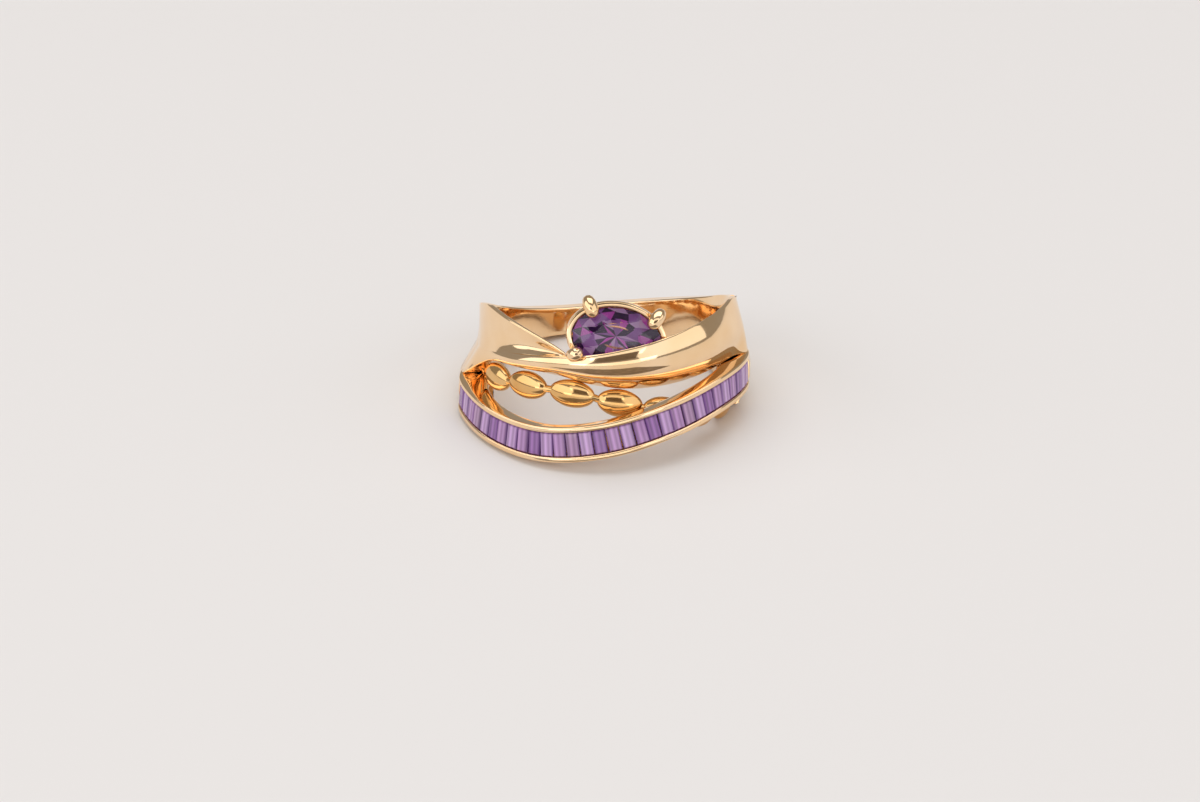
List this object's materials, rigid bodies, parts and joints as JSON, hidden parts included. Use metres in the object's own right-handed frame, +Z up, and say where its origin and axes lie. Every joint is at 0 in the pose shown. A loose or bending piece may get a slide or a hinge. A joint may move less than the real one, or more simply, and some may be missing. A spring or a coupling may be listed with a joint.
{
  "type": "cocktail ring",
  "caption": "Yellow gold cocktail ring with a sweeping ribbon, a curved channel of purple baguette stones, a row of gold beads and an oval purple stone in claws.",
  "frame": {"origin": "middle of the ring's outline on the surface that it lies on", "axes": "+Z up from that surface, -Y towards the crown, +X to the right seen from the crown; the finger hole leans 16.5 degrees back from +Z towards +Y"},
  "size_m": [0.022, 0.0222, 0.0127],
  "materials": {
    "yellow_gold": "mirror polished yellow gold",
    "amethyst": "faceted and polished deep purple",
    "lilac_stone": "step-cut and polished lilac"
  },
  "bodies": {
    "root": {"ribbon_band": "yellow_gold", "left_leaf": "yellow_gold", "upper_rail": "yellow_gold", "lower_rail": "yellow_gold", "channel_floor": "yellow_gold", "baguette_01": "lilac_stone", "baguette_02": "lilac_stone", "baguette_03": "lilac_stone", "baguette_04": "lilac_stone", "baguette_05": "lilac_stone", "baguette_06": "lilac_stone", "baguette_07": "lilac_stone", "baguette_08": "lilac_stone", "baguette_09": "lilac_stone", "baguette_10": "lilac_stone", "baguette_11": "lilac_stone", "baguette_12": "lilac_stone", "baguette_13": "lilac_stone", "baguette_14": "lilac_stone", "baguette_15": "lilac_stone", "baguette_16": "lilac_stone", "baguette_17": "lilac_stone", "baguette_18": "lilac_stone", "baguette_19": "lilac_stone", "baguette_20": "lilac_stone", "baguette_21": "lilac_stone", "baguette_22": "lilac_stone", "baguette_23": "lilac_stone", "baguette_24": "lilac_stone", "baguette_25": "lilac_stone", "baguette_26": "lilac_stone", "baguette_27": "lilac_stone", "baguette_28": "lilac_stone", "baguette_29": "lilac_stone", "baguette_30": "lilac_stone", "bead_1": "yellow_gold", "bead_2": "yellow_gold", "bead_3": "yellow_gold", "bead_4": "yellow_gold", "bead_5": "yellow_gold", "bead_6": "yellow_gold", "bead_7": "yellow_gold", "bead_wire": "yellow_gold", "centre_stone": "amethyst", "gallery_rim": "yellow_gold", "basket_base": "yellow_gold", "claw_1": "yellow_gold", "claw_2": "yellow_gold", "claw_3": "yellow_gold", "shank": "yellow_gold"}
  },
  "joints": []
}
